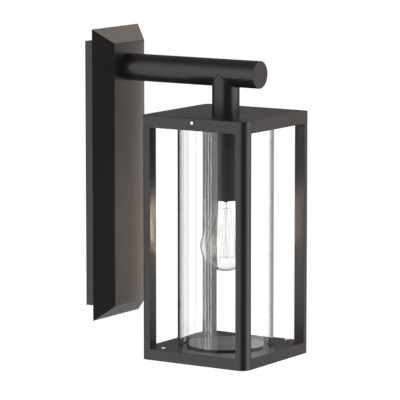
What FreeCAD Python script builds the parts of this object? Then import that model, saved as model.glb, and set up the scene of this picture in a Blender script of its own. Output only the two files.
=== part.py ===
import FreeCAD, Part
import math
import os
import re
import Sketcher

# Outdoor wall lantern: a bevelled wall canopy carries a round arm, a short stem and a square roof cap.
# A square cage with a clear glass tube hangs under the cap, round a single screw-in lamp.
# Frame, in millimetres: the origin is on the wall at the back pan's centre, +X runs to the right along
# the wall, -Y points out of the wall and +Z is up.

DIMENSIONS = {
    # wall pan, its gasket and its mounting strap
    "gasket_thick": 1.5,
    "gasket_width": 1.6,
    "pan_width": 68,
    "pan_height": 315,
    "pan_depth": 18,
    "pan_flange": 8,
    "sheet_wall": 1.5,
    "strap_width": 32,
    "strap_thick": 1.6,
    "strap_ear": 13,
    "strap_play": 0.2,
    "slot_spacing": 88.9,
    "slot_width": 5,
    "slot_length": 16,
    "wire_hole_radius": 11,
    "pan_screw_out": 9,
    "pan_head_radius": 3.6,
    "pan_head_thick": 2.2,
    "pan_screw_grip": 5,
    "flange_screw_across": 28.5,
    "flange_screw_up": 100,
    "flange_screw_radius": 1.75,
    "flange_head_radius": 3,
    "flange_head_thick": 1.8,
    "flange_screw_grip": 2,
    "ground_screw_across": 8,
    "ground_screw_up": 24,
    "ground_head_radius": 3.2,
    "ground_head_thick": 1.8,
    # bevelled canopy
    "canopy_width": 96.5,
    "canopy_height": 346,
    "canopy_depth": 20.5,
    "canopy_bevel": 17,
    # arm and stem
    "tube_radius": 16,
    "tube_wall": 2,
    "arm_height": 126.5,
    "arm_reach": 221.5,
    "end_cap_thick": 2,
    "end_cap_spigot": 5,
    "plug_depth": 8,
    "nipple_radius": 5,
    "nipple_bore": 3.6,
    "nipple_below_cap": 13,
    "nipple_in_canopy": 8,
    "locknut_thick": 4,
    "locknut_radius": 9,
    "washer_radius": 9,
    "washer_thick": 1,
    # roof cap
    "axis_out": 174.5,
    "lantern_side": 143.5,
    "lantern_corner": 10,
    "edge_round": 0.6,
    "cap_top": 80,
    "cap_height": 14,
    "cap_wall": 2,
    "clamp_height": 75,
    "clamp_radius": 1.4,
    "clamp_head_radius": 1.8,
    "clamp_head_thick": 0.8,
    "thread_play": 0.05,
    # cage
    "frame_play": 0.4,
    "seam_gap": 0.3,
    "frame_drop": 0.5,
    "post_size": 13.5,
    "post_edge_round": 0.6,
    "post_screw_inset": 7.8,
    "post_screw_radius": 2,
    "post_hole_depth": 13,
    "screw_play": 0.1,
    "post_head_radius": 3.2,
    "post_head_thick": 2.4,
    "top_screw_length": 20,
    "foot_screw_grip": 12,
    "base_top": -193,
    "base_height": 13,
    "base_skin": 4,
    "base_wall": 2,
    "cover_thick": 1.5,
    "cover_play": 0.2,
    "base_screw_out": 62,
    "base_screw_along": 46,
    "base_screw_radius": 1.5,
    "base_head_radius": 2.25,
    "base_head_thick": 1.2,
    "base_screw_grip": 6,
    "boss_radius": 3.5,
    "boss_bore_depth": 7,
    # glass tube and its seat
    "glass_radius": 56,
    "glass_wall": 2,
    "seat_outer": 57.2,
    "seat_inner": 45,
    "seat_depth": 2,
    "seat_rise": 2,
    "ring_thick": 1.5,
    "ring_outer": 57,
    "ring_inner": 52,
    "top_ring_thick": 3,
    # lamp socket
    "cover_radius": 25.6,
    "cover_wall": 1.2,
    "cover_bottom": -20,
    "bracket_thick": 2,
    "bracket_width": 14,
    "bracket_half": 22.3,
    "bracket_bottom": 8,
    "porcelain_radius": 20,
    "porcelain_bottom": -14,
    "porcelain_top": 28,
    "porcelain_bore": 13.9,
    "bore_top": 6.5,
    "shell_radius": 13.8,
    "shell_wall": 0.4,
    "shell_top": 1.5,
    "shell_lip": 0.5,
    "contact_play": 0.15,
    "contact_rim": 0.3,
    "side_screw_head": 2.6,
    "side_screw_head_thick": 1.4,
    "side_screw_length": 10,
    "socket_screw_height": 16,
    "terminal_out": 13,
    "terminal_radius": 3,
    "terminal_thick": 2,
    "terminal_screw_length": 7,
    "terminal_washer_radius": 3.8,
    "terminal_washer_thick": 1,
    # lamp
    "bulb_radius": 29.8,
    "bulb_centre": -75.7,
    "bulb_shoulder": -62,
    "bulb_neck_radius": 13.6,
    "bulb_neck_top": -19,
    "bulb_neck_curve": 140,
    "bulb_wall": 0.8,
    "lamp_cap_radius": 13.1,
    "lamp_cap_wall": 0.4,
    "lamp_cap_top": -2,
    "insulator_top": 2,
    "contact_top": 4,
    "contact_radius": 4.8,
    "contact_round": 1.2,
    "insulator_skirt": 2,
    "flare_top": -20.5,
    "flare_low": -22,
    "flare_play": 0.1,
    "pinch_height": -27,
    "pinch_radius": 3.2,
    "glass_rod_top": -30,
    "glass_rod_radius": 1.3,
    "glass_rod_bottom": -91,
    "filament_top": -32,
    "filament_bottom": -89,
    "filament_top_radius": 9.5,
    "filament_bottom_radius": 11.5,
    "filament_thick": 0.25,
    "support_thick": 0.15,
    "support_gap": 0.35,
    # leads
    "lead_radius": 1.0,
    "ground_lead_radius": 0.8,
    "wire_nut_radius": 5.5,
    "wire_nut_tip_radius": 3.6,
    "wire_nut_length": 20,
    "wire_nut_bore": 3,
    "wire_nut_bore_depth": 8,
    "lead_in_nut": 5,
}

PAN_FRONT = "(gasket_thick + pan_depth)"
CANOPY_FRONT = "(gasket_thick + pan_depth + canopy_depth)"
STRAP_HEIGHT = "(pan_height - 2 * sheet_wall - 2 * strap_play)"
CAP_UNDER = "(cap_top - cap_wall)"
RIM_BOTTOM = "(cap_top - cap_height)"
POST_TOP = "(cap_top - cap_height - seam_gap)"
FRAME_TOP = "(cap_top - cap_wall - frame_drop)"
FRAME_HALF = "(lantern_side / 2 - cap_wall - frame_play)"
POST_INNER = "(lantern_side / 2 - post_size)"
BASE_UNDER = "(base_top - base_skin)"
BASE_BOTTOM = "(base_top - base_height)"
BASE_INNER_HALF = "(lantern_side / 2 - base_wall)"
COVER_TOP = "(base_top - base_height + cover_thick)"
POST_SCREW_AT = "(lantern_side / 2 - post_screw_inset)"
GLASS_BOTTOM = "(base_top - seat_depth + ring_thick)"
GLASS_TOP = "(cap_top - cap_wall - top_ring_thick - seam_gap)"
BRACKET_TOP = "(cap_top - cap_wall - cover_wall)"
WASHER_TOP = "(cap_top - cap_wall - cover_wall - bracket_thick)"
LANTERN = ("0", "-axis_out", "0")
WALL = ("0", "0", "0")
CORNERS = ((-1, -1), (1, -1), (1, 1), (-1, 1))
BASE_SCREW_SIDES = ((-1, 1), (1, -1))
SIDES = (-1, 1)
UP = FreeCAD.Rotation()
DOWN = FreeCAD.Rotation(FreeCAD.Vector(1, 0, 0), 180)
TO_WALL = FreeCAD.Rotation(FreeCAD.Vector(1, 0, 0), -90)
FROM_WALL = FreeCAD.Rotation(FreeCAD.Vector(1, 0, 0), 90)
TO_RIGHT = FreeCAD.Rotation(FreeCAD.Vector(0, 1, 0), 90)
TO_LEFT = FreeCAD.Rotation(FreeCAD.Vector(0, 1, 0), -90)
TINY = 1e-6
FILAMENT_TURNS = 8

doc = FreeCAD.newDocument("WallLantern")
sheet = doc.addObject("Spreadsheet::Sheet", "Dimensions")
pieces = []


def fill_sheet():
    for row, (name, size) in enumerate(DIMENSIONS.items(), start=1):
        sheet.set(f"A{row}", name)
        sheet.set(f"B{row}", str(size))
        sheet.setAlias(f"B{row}", name)
    doc.recompute()


# ---- expressions, sketches and features -------------------------------------------------------------

def linked(expression):
    """The same expression with each dimension named through the sheet."""
    def through_sheet(match):
        word = match.group(0)
        return f"Dimensions.{word}" if word in DIMENSIONS else word
    return re.sub(r"[a-z][a-z_]*", through_sheet, expression)


def number(expression):
    return float(sheet.evalExpression(expression))


def bind(thing, prop, expression):
    thing.setExpression(prop, linked(expression))


def place(thing, at, rotation=UP):
    thing.Placement = FreeCAD.Placement(FreeCAD.Vector(*(number(part) for part in at)), rotation)
    for axis, part in zip("xyz", at):
        bind(thing, f"Placement.Base.{axis}", part)


def keep(thing, label):
    thing.Label = label
    pieces.append(thing)
    return thing


def new_body(label, at=WALL, rotation=UP):
    body = doc.addObject("PartDesign::Body", f"Body_{label}")
    place(body, at, rotation)
    return keep(body, label)


def new_sketch(body, role, offset="0"):
    sketch = body.newObject("Sketcher::SketchObject", "Sketch")
    plane = next(feature for feature in body.Origin.OriginFeatures if feature.Role == role)
    sketch.AttachmentSupport = [(plane, "")]
    sketch.MapMode = "FlatFace"
    bind(sketch, "AttachmentOffset.Base.z", offset)
    return sketch


def bound_constraint(sketch, expression, kind, *rest):
    index = sketch.addConstraint(Sketcher.Constraint(kind, *rest, number(expression)))
    sketch.setExpression(f"Constraints[{index}]", linked(expression))


def pin(sketch, geometry, point, across, up):
    """Hold one point of a sketch at its place from the sketch's origin."""
    for kind, expression, zero_axis in (("DistanceX", across, -2), ("DistanceY", up, -1)):
        distance = number(expression)
        if abs(distance) < TINY:
            sketch.addConstraint(Sketcher.Constraint("PointOnObject", geometry, point, zero_axis))
        elif distance > 0:
            bound_constraint(sketch, expression, kind, -1, 1, geometry, point)
        else:
            bound_constraint(sketch, f"-({expression})", kind, geometry, point, -1, 1)


def outline(sketch, corners):
    """A closed chain of straight lines through the given corners."""
    places = [FreeCAD.Vector(number(across), number(up), 0) for across, up in corners]
    first = sketch.GeometryCount
    count = len(corners)
    for index in range(count):
        sketch.addGeometry(Part.LineSegment(places[index], places[(index + 1) % count]), False)
    for index in range(count):
        following = first + (index + 1) % count
        sketch.addConstraint(Sketcher.Constraint("Coincident", first + index, 2, following, 1))
        pin(sketch, first + index, 1, *corners[index])


def rectangle(sketch, wide, high, across="0", up="0"):
    left, right = f"{across} - {wide} / 2", f"{across} + {wide} / 2"
    low, top = f"{up} - {high} / 2", f"{up} + {high} / 2"
    outline(sketch, [(left, low), (right, low), (right, top), (left, top)])


def circle(sketch, radius, across="0", up="0"):
    centre = FreeCAD.Vector(number(across), number(up), 0)
    index = sketch.addGeometry(Part.Circle(centre, FreeCAD.Vector(0, 0, 1), number(radius)), False)
    pin(sketch, index, 3, across, up)
    bound_constraint(sketch, radius, "Radius", index)


def pad(body, sketch, length, reverse=False, middle=False):
    feature = body.newObject("PartDesign::Pad", "Pad")
    feature.Profile = sketch
    feature.Reversed = reverse
    feature.Midplane = middle
    bind(feature, "Length", length)
    doc.recompute()


def check_cut(body, before):
    doc.recompute()
    if body.Shape.Volume > before - TINY:
        raise RuntimeError(f"{body.Label}: a cut removed nothing")


def pocket(body, sketch, depth, reverse=False):
    doc.recompute()
    before = body.Shape.Volume
    feature = body.newObject("PartDesign::Pocket", "Pocket")
    feature.Profile = sketch
    feature.Reversed = reverse
    bind(feature, "Length", depth)
    check_cut(body, before)


def cut_through(body, sketch):
    doc.recompute()
    before = body.Shape.Volume
    feature = body.newObject("PartDesign::Pocket", "Through")
    feature.Profile = sketch
    feature.Type = "ThroughAll"
    feature.Midplane = True
    check_cut(body, before)


def revolve(body, sketch):
    feature = body.newObject("PartDesign::Revolution", "Revolution")
    feature.Profile = sketch
    feature.ReferenceAxis = (sketch, ["V_Axis"])
    feature.Angle = 360
    doc.recompute()


def round_edges(body, radius, test):
    doc.recompute()
    base = body.Tip
    names = [f"Edge{number_of}" for number_of, edge in enumerate(base.Shape.Edges, start=1) if test(edge)]
    feature = body.newObject("PartDesign::Fillet", "Fillet")
    feature.Base = (base, names)
    bind(feature, "Radius", radius)
    doc.recompute()


def is_upright(edge):
    box = edge.BoundBox
    return box.XLength < TINY and box.YLength < TINY


def stands_at(half):
    """A test that picks the upright edges on the corners of a centred square of this half-width."""
    reach = number(half)

    def test(edge):
        box = edge.BoundBox
        return is_upright(edge) and abs(abs(box.XMin) - reach) + abs(abs(box.YMin) - reach) < TINY
    return test


def lies_at(axis, level):
    """A test that picks edges lying wholly in one plane across the axis."""
    def test(edge):
        box = edge.BoundBox
        low, high = getattr(box, f"{axis}Min"), getattr(box, f"{axis}Max")
        return abs(low - level) < 1e-3 and abs(high - level) < 1e-3
    return test


# ---- loose solids -----------------------------------------------------------------------------------

def cylinder(radius, length):
    solid = doc.addObject("Part::Cylinder", "Cylinder")
    bind(solid, "Radius", radius)
    bind(solid, "Height", length)
    return solid


def join(parts):
    fused = doc.addObject("Part::MultiFuse", "Fuse")
    fused.Shapes = parts
    return fused


def cut_from(base, tool):
    cut = doc.addObject("Part::Cut", "Cut")
    cut.Base = base
    cut.Tool = tool
    return cut


def group(label, solids):
    compound = doc.addObject("Part::Compound", f"Group_{label}")
    compound.Links = solids
    return keep(compound, label)


def hex_bar(radius, length):
    prism = doc.addObject("Part::Prism", "Prism")
    prism.Polygon = 6
    bind(prism, "Circumradius", radius)
    bind(prism, "Height", length)
    return prism


def screw(head_radius, head_thick, shank_radius, shank_length, at, rotation):
    """A socket-head screw. Its shank points along the turned +Z axis, and 'at' is under its head."""
    shank = cylinder(shank_radius, shank_length)
    head = cylinder(head_radius, head_thick)
    place(head, ("0", "0", f"-{head_thick}"))
    socket = hex_bar(f"{head_radius} * 0.5", f"{head_thick} * 0.6")
    place(socket, ("0", "0", f"-{head_thick}"))
    whole = cut_from(join([head, shank]), socket)
    place(whole, at, rotation)
    return whole


def ring(label, outer, inner, low, high, at=LANTERN):
    """A flat or tall ring about a vertical axis, between two heights."""
    body = new_body(label, at)
    sketch = new_sketch(body, "XY_Plane", low)
    circle(sketch, outer)
    circle(sketch, inner)
    pad(body, sketch, f"{high} - {low}")
    return body


def arm_ring(label, outer, inner, back, front):
    """A ring about the arm's axis, from 'back' to 'front' measured out of the wall."""
    body = new_body(label)
    sketch = new_sketch(body, "XZ_Plane", back)
    circle(sketch, outer, "0", "arm_height")
    circle(sketch, inner, "0", "arm_height")
    pad(body, sketch, f"{front} - {back}")
    return body


# ---- wall side --------------------------------------------------------------------------------------

def make_wall_gasket():
    body = new_body("wall_gasket")
    sketch = new_sketch(body, "XZ_Plane")
    rectangle(sketch, "pan_width", "pan_height")
    rectangle(sketch, "(pan_width - 2 * gasket_width)", "(pan_height - 2 * gasket_width)")
    pad(body, sketch, "gasket_thick")


def make_mounting_strap():
    body = new_body("mounting_strap")
    sketch = new_sketch(body, "XZ_Plane")
    rectangle(sketch, "strap_width", STRAP_HEIGHT)
    pad(body, sketch, "strap_thick")
    for low in (f"-{STRAP_HEIGHT} / 2", f"{STRAP_HEIGHT} / 2 - strap_thick"):
        ear = new_sketch(body, "XY_Plane", low)
        rectangle(ear, "strap_width", "strap_ear", "0", "-strap_ear / 2")
        pad(body, ear, "strap_thick")
    holes = new_sketch(body, "XZ_Plane")
    circle(holes, "wire_hole_radius")
    circle(holes, "flange_screw_radius", "ground_screw_across", "ground_screw_up")
    cut_through(body, holes)
    for side in SIDES:
        slot = new_sketch(body, "XZ_Plane")
        upright_slot(slot, f"{side} * slot_spacing / 2")
        cut_through(body, slot)
    ear_holes = new_sketch(body, "XY_Plane")
    circle(ear_holes, "post_screw_radius", "0", "-pan_screw_out")
    cut_through(body, ear_holes)


def upright_slot(sketch, middle):
    """A round-ended slot that runs up and down about the given height."""
    radius = number("slot_width / 2")
    run = number("slot_length / 2 - slot_width / 2")
    centre = number(middle)
    top, low = centre + run, centre - run
    normal = FreeCAD.Vector(0, 0, 1)
    upper = Part.Circle(FreeCAD.Vector(0, top, 0), normal, radius)
    lower = Part.Circle(FreeCAD.Vector(0, low, 0), normal, radius)
    sketch.addGeometry(Part.ArcOfCircle(upper, 0, math.pi), False)
    sketch.addGeometry(Part.LineSegment(FreeCAD.Vector(-radius, top, 0),
                                        FreeCAD.Vector(-radius, low, 0)), False)
    sketch.addGeometry(Part.ArcOfCircle(lower, math.pi, 2 * math.pi), False)
    sketch.addGeometry(Part.LineSegment(FreeCAD.Vector(radius, low, 0),
                                        FreeCAD.Vector(radius, top, 0)), False)
    for index, end, following, start in ((0, 2, 1, 1), (1, 2, 2, 1), (2, 2, 3, 1), (3, 2, 0, 1)):
        sketch.addConstraint(Sketcher.Constraint("Tangent", index, end, following, start))
    pin(sketch, 0, 3, "0", f"{middle} + (slot_length - slot_width) / 2")
    pin(sketch, 2, 3, "0", f"{middle} - (slot_length - slot_width) / 2")
    bound_constraint(sketch, "slot_width / 2", "Radius", 0)


def flange_opening(sketch):
    """The opening that the pan's front flange and the canopy's back flange share."""
    rectangle(sketch, "(pan_width - 2 * sheet_wall - 2 * pan_flange)",
              "(pan_height - 2 * sheet_wall - 2 * pan_flange)")


def flange_screw_holes(sketch, radius):
    for side in SIDES:
        for level in SIDES:
            circle(sketch, radius, f"{side} * flange_screw_across", f"{level} * flange_screw_up")


def make_back_pan():
    body = new_body("back_pan")
    outside = new_sketch(body, "XZ_Plane", "gasket_thick")
    rectangle(outside, "pan_width", "pan_height")
    pad(body, outside, "pan_depth")
    round_edges(body, "edge_round", is_along_y)
    inside = new_sketch(body, "XZ_Plane", "gasket_thick")
    rectangle(inside, "(pan_width - 2 * sheet_wall)", "(pan_height - 2 * sheet_wall)")
    pocket(body, inside, "pan_depth - sheet_wall", reverse=True)
    opening = new_sketch(body, "XZ_Plane", PAN_FRONT)
    flange_opening(opening)
    flange_screw_holes(opening, "flange_screw_radius")
    pocket(body, opening, "sheet_wall")
    screw_holes = new_sketch(body, "XY_Plane")
    circle(screw_holes, "post_screw_radius + screw_play", "0", "-pan_screw_out")
    cut_through(body, screw_holes)


def is_along_y(edge):
    box = edge.BoundBox
    return box.XLength < TINY and box.ZLength < TINY


def loft(body, kind, low_sketch, high_sketch):
    feature = body.newObject(kind, "Loft")
    feature.Profile = low_sketch
    feature.Sections = [high_sketch]
    feature.Ruled = True
    doc.recompute()


def make_canopy():
    body = new_body("canopy")
    back = new_sketch(body, "XZ_Plane", PAN_FRONT)
    rectangle(back, "canopy_width", "canopy_height")
    front = new_sketch(body, "XZ_Plane", CANOPY_FRONT)
    rectangle(front, "(canopy_width - 2 * canopy_bevel)", "(canopy_height - 2 * canopy_bevel)")
    loft(body, "PartDesign::AdditiveLoft", back, front)
    round_edges(body, "edge_round", lambda edge: not lies_at("Y", -number(PAN_FRONT))(edge))
    slope = "(canopy_bevel / canopy_depth)"
    skin = f"(sheet_wall * sqrt(1 + {slope} * {slope}))"
    near = f"({skin} + sheet_wall * {slope})"
    far = f"({skin} + (canopy_depth - sheet_wall) * {slope})"
    inner_back = new_sketch(body, "XZ_Plane", f"{PAN_FRONT} + sheet_wall")
    rectangle(inner_back, f"(canopy_width - 2 * {near})", f"(canopy_height - 2 * {near})")
    inner_front = new_sketch(body, "XZ_Plane", f"{CANOPY_FRONT} - sheet_wall")
    rectangle(inner_front, f"(canopy_width - 2 * {far})", f"(canopy_height - 2 * {far})")
    before = body.Shape.Volume
    loft(body, "PartDesign::SubtractiveLoft", inner_back, inner_front)
    check_cut(body, before)
    opening = new_sketch(body, "XZ_Plane", PAN_FRONT)
    flange_opening(opening)
    flange_screw_holes(opening, "flange_screw_radius")
    pocket(body, opening, "sheet_wall", reverse=True)
    nipple_hole = new_sketch(body, "XZ_Plane", CANOPY_FRONT)
    circle(nipple_hole, "nipple_radius", "0", "arm_height")
    pocket(body, nipple_hole, "sheet_wall")


def make_wall_screws():
    pan_screws = []
    for side, rotation in ((1, DOWN), (-1, UP)):
        at = ("0", "-pan_screw_out", f"{side} * pan_height / 2")
        pan_screws.append(screw("pan_head_radius", "pan_head_thick", "post_screw_radius",
                                "sheet_wall + pan_screw_grip", at, rotation))
    group("pan_screws", pan_screws)
    canopy_screws = []
    for side in SIDES:
        for level in SIDES:
            at = (f"{side} * flange_screw_across", f"sheet_wall - {PAN_FRONT}",
                  f"{level} * flange_screw_up")
            canopy_screws.append(screw("flange_head_radius", "flange_head_thick", "flange_screw_radius",
                                       "2 * sheet_wall + flange_screw_grip", at, FROM_WALL))
    group("canopy_screws", canopy_screws)
    at = ("ground_screw_across", "-strap_thick", "ground_screw_up")
    ground_screw = screw("ground_head_radius", "ground_head_thick", "flange_screw_radius", "strap_thick",
                         at, TO_WALL)
    keep(ground_screw, "ground_screw")


# ---- arm and stem -----------------------------------------------------------------------------------

def make_arm_tube():
    body = arm_ring("arm_tube", "tube_radius", "(tube_radius - tube_wall)", CANOPY_FRONT,
                    "(arm_reach - end_cap_thick)")
    opening = new_sketch(body, "XY_Plane", "arm_height")
    circle(opening, "tube_radius - tube_wall", "0", "-axis_out")
    pocket(body, opening, "2 * tube_radius")


def make_arm_end_cap():
    body = new_body("arm_end_cap")
    spigot = new_sketch(body, "XZ_Plane", "arm_reach - end_cap_thick - end_cap_spigot")
    circle(spigot, "tube_radius - tube_wall", "0", "arm_height")
    pad(body, spigot, "end_cap_spigot")
    disc = new_sketch(body, "XZ_Plane", "arm_reach - end_cap_thick")
    circle(disc, "tube_radius", "0", "arm_height")
    pad(body, disc, "end_cap_thick")
    round_edges(body, "edge_round", lies_at("Y", -number("arm_reach")))


def make_arm_fastening():
    arm_ring("arm_plug", "(tube_radius - tube_wall)", "nipple_radius", CANOPY_FRONT,
             f"({CANOPY_FRONT} + plug_depth)")
    arm_ring("arm_nipple", "nipple_radius", "nipple_bore",
             f"({CANOPY_FRONT} - sheet_wall - nipple_in_canopy)", f"({CANOPY_FRONT} + plug_depth)")
    inner_face = f"({CANOPY_FRONT} - sheet_wall)"
    arm_ring("arm_washer", "washer_radius", "nipple_radius", f"({inner_face} - washer_thick)", inner_face)
    bore = cylinder("nipple_radius", "locknut_thick")
    nut = cut_from(hex_bar("locknut_radius", "locknut_thick"), bore)
    place(nut, ("0", f"-({inner_face} - washer_thick)", "arm_height"), TO_WALL)
    keep(nut, "arm_locknut")


def make_stem():
    body = ring("stem_tube", "tube_radius", "(tube_radius - tube_wall)", "cap_top", "arm_height")
    cope = new_sketch(body, "XZ_Plane")
    circle(cope, "tube_radius", "0", "arm_height")
    cut_through(body, cope)
    ring("stem_plug", "(tube_radius - tube_wall)", "nipple_radius", "cap_top", "(cap_top + plug_depth)")
    ring("stem_nipple", "nipple_radius", "nipple_bore", "(cap_top - nipple_below_cap)",
         "(cap_top + plug_depth)")
    ring("stem_washer", "washer_radius", "nipple_radius", f"({WASHER_TOP} - washer_thick)", WASHER_TOP)
    bore = cylinder("nipple_radius", "locknut_thick")
    nut = cut_from(hex_bar("locknut_radius", "locknut_thick"), bore)
    place(nut, ("0", "-axis_out", f"{WASHER_TOP} - washer_thick - locknut_thick"))
    keep(nut, "stem_locknut")


# ---- roof cap ---------------------------------------------------------------------------------------

def square_lid(body, low, high, skin, wall):
    """The lantern's rounded square, hollow from below, with its upper rim eased."""
    sketch = new_sketch(body, "XY_Plane", low)
    rectangle(sketch, "lantern_side", "lantern_side")
    pad(body, sketch, f"{high} - {low}")
    hollow = new_sketch(body, "XY_Plane", low)
    rectangle(hollow, f"(lantern_side - 2 * {wall})", f"(lantern_side - 2 * {wall})")
    pocket(body, hollow, f"{high} - {low} - {skin}", reverse=True)
    round_edges(body, f"lantern_corner - {wall}", stands_at(f"lantern_side / 2 - {wall}"))
    round_edges(body, "lantern_corner", stands_at("lantern_side / 2"))
    round_edges(body, "edge_round", lies_at("Z", number(high)))


def make_roof_cap():
    body = new_body("roof_cap", LANTERN)
    square_lid(body, RIM_BOTTOM, "cap_top", "cap_wall", "cap_wall")
    nipple_hole = new_sketch(body, "XY_Plane", "cap_top")
    circle(nipple_hole, "nipple_radius")
    pocket(body, nipple_hole, "cap_wall")
    clamp_holes = new_sketch(body, "YZ_Plane")
    circle(clamp_holes, "clamp_radius + thread_play", "0", "clamp_height")
    cut_through(body, clamp_holes)


def make_clamp_screws():
    reach = "cap_wall + frame_play - thread_play"
    for label, side, rotation in (("clamp_screw_left", -1, TO_RIGHT), ("clamp_screw_right", 1, TO_LEFT)):
        at = (f"{side} * lantern_side / 2", "-axis_out", "clamp_height")
        keep(screw("clamp_head_radius", "clamp_head_thick", "clamp_radius", reach, at, rotation), label)


# ---- lamp socket ------------------------------------------------------------------------------------

def make_socket_cover():
    body = ring("socket_cover", "cover_radius", "(cover_radius - cover_wall)", "cover_bottom", CAP_UNDER)
    disc = new_sketch(body, "XY_Plane", CAP_UNDER)
    circle(disc, "cover_radius")
    circle(disc, "nipple_radius")
    pad(body, disc, "cover_wall", reverse=True)


def make_socket_bracket():
    body = new_body("socket_bracket", LANTERN)
    inner = "(bracket_half - bracket_thick)"
    web_under = f"({BRACKET_TOP} - bracket_thick)"
    strip = new_sketch(body, "XZ_Plane")
    outline(strip, [("-bracket_half", "bracket_bottom"), (f"-{inner}", "bracket_bottom"),
                    (f"-{inner}", web_under), (inner, web_under), (inner, "bracket_bottom"),
                    ("bracket_half", "bracket_bottom"), ("bracket_half", BRACKET_TOP),
                    ("-bracket_half", BRACKET_TOP)])
    pad(body, strip, "bracket_width", middle=True)
    nipple_hole = new_sketch(body, "XY_Plane", BRACKET_TOP)
    circle(nipple_hole, "nipple_radius")
    pocket(body, nipple_hole, "bracket_thick")
    leg_holes = new_sketch(body, "YZ_Plane")
    circle(leg_holes, "base_screw_radius + screw_play", "0", "socket_screw_height")
    cut_through(body, leg_holes)


def make_socket_body():
    body = new_body("socket_body", LANTERN)
    profile = new_sketch(body, "XZ_Plane")
    outline(profile, [("0", "bore_top"), ("porcelain_bore", "bore_top"),
                      ("porcelain_bore", "porcelain_bottom"), ("porcelain_radius", "porcelain_bottom"),
                      ("porcelain_radius", "porcelain_top"), ("0", "porcelain_top")])
    revolve(body, profile)
    side_holes = new_sketch(body, "YZ_Plane")
    circle(side_holes, "base_screw_radius", "0", "socket_screw_height")
    cut_through(body, side_holes)
    terminal_holes = new_sketch(body, "XY_Plane", "porcelain_top")
    for side in SIDES:
        circle(terminal_holes, "base_screw_radius", "0", f"{side} * terminal_out")
    pocket(body, terminal_holes, "terminal_screw_length")


def make_socket_metal():
    ring("socket_shell", "shell_radius", "(shell_radius - shell_wall)", "(porcelain_bottom + shell_lip)",
         "shell_top")
    contact = cylinder("contact_radius - contact_rim", "bore_top - contact_top - contact_play")
    place(contact, ("0", "-axis_out", "contact_top + contact_play"))
    keep(contact, "socket_contact")
    side_screws = []
    for side, rotation in ((-1, TO_RIGHT), (1, TO_LEFT)):
        at = (f"{side} * bracket_half", "-axis_out", "socket_screw_height")
        side_screws.append(screw("side_screw_head", "side_screw_head_thick", "base_screw_radius",
                                 "side_screw_length", at, rotation))
    group("socket_screws", side_screws)
    terminals = []
    for side in SIDES:
        out = f"-axis_out + {side} * terminal_out"
        washer = cylinder("terminal_washer_radius", "terminal_washer_thick")
        place(washer, ("0", out, "porcelain_top"))
        terminal = screw("terminal_radius", "terminal_thick", "base_screw_radius", "terminal_screw_length",
                         ("0", out, "porcelain_top + terminal_washer_thick"), DOWN)
        terminals.append(join([washer, terminal]))
    group("terminal_screws", terminals)


# ---- cage -------------------------------------------------------------------------------------------

def make_top_frame():
    body = new_body("top_frame", LANTERN)
    sketch = new_sketch(body, "XY_Plane", POST_TOP)
    rectangle(sketch, f"(2 * {FRAME_HALF})", f"(2 * {FRAME_HALF})")
    rectangle(sketch, f"(2 * {POST_INNER})", f"(2 * {POST_INNER})")
    pad(body, sketch, f"{FRAME_TOP} - {POST_TOP}")
    round_edges(body, "lantern_corner - cap_wall - frame_play", stands_at(FRAME_HALF))
    holes = new_sketch(body, "XY_Plane", FRAME_TOP)
    recesses = new_sketch(body, "XY_Plane", FRAME_TOP)
    for across, up in CORNERS:
        at = (f"{across} * {POST_SCREW_AT}", f"{up} * {POST_SCREW_AT}")
        circle(holes, "post_screw_radius + screw_play", *at)
        circle(recesses, "post_head_radius + screw_play", *at)
    cut_through(body, holes)
    pocket(body, recesses, "post_head_thick + screw_play")


def make_posts():
    length = f"{POST_TOP} - base_top"
    middle = "(lantern_side / 2 - post_size / 2)"
    labels = ("post_front_left", "post_front_right", "post_back_right", "post_back_left")
    for quarter, label in enumerate(labels):
        turn = FreeCAD.Rotation(FreeCAD.Vector(0, 0, 1), 90 * quarter)
        body = new_body(label, LANTERN, turn)
        section = new_sketch(body, "XY_Plane", "base_top")
        rectangle(section, "post_size", "post_size", f"-{middle}", f"-{middle}")
        pad(body, section, length)
        outer = -number("lantern_side / 2")
        round_edges(body, "lantern_corner", lambda edge: is_upright(edge) and
                    abs(edge.BoundBox.XMin - outer) + abs(edge.BoundBox.YMin - outer) < TINY)
        inner = -number(POST_INNER)
        round_edges(body, "post_edge_round", lambda edge: is_upright(edge) and
                    min(abs(edge.BoundBox.XMin - inner), abs(edge.BoundBox.YMin - inner)) < TINY)
        foot_hole = new_sketch(body, "XY_Plane", "base_top")
        circle(foot_hole, "post_screw_radius", f"-{POST_SCREW_AT}", f"-{POST_SCREW_AT}")
        pocket(body, foot_hole, "post_hole_depth", reverse=True)
        top_hole = new_sketch(body, "XY_Plane", POST_TOP)
        circle(top_hole, "post_screw_radius", f"-{POST_SCREW_AT}", f"-{POST_SCREW_AT}")
        pocket(body, top_hole, "post_hole_depth")


def base_screw_place(across, up):
    return f"{across} * base_screw_out", f"{up} * base_screw_along"


def make_cage_screws():
    head = ("post_head_radius", "post_head_thick", "post_screw_radius")
    top_screws, foot_screws, base_screws = [], [], []
    for across, up in CORNERS:
        post_x = f"{across} * {POST_SCREW_AT}"
        post_y = f"-axis_out + {up} * {POST_SCREW_AT}"
        top_at = (post_x, post_y, f"{FRAME_TOP} - post_head_thick - screw_play")
        top_screws.append(screw(*head, "top_screw_length", top_at, DOWN))
        foot_at = (post_x, post_y, BASE_UNDER)
        foot_screws.append(screw(*head, "base_skin + foot_screw_grip", foot_at, UP))
    for across, up in BASE_SCREW_SIDES:
        out, along = base_screw_place(across, up)
        base_at = (out, f"-axis_out + {along}", "base_top")
        base_screws.append(screw("base_head_radius", "base_head_thick", "base_screw_radius",
                                 "base_skin + base_screw_grip", base_at, DOWN))
    group("post_top_screws", top_screws)
    group("post_foot_screws", foot_screws)
    group("base_screws", base_screws)


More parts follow.
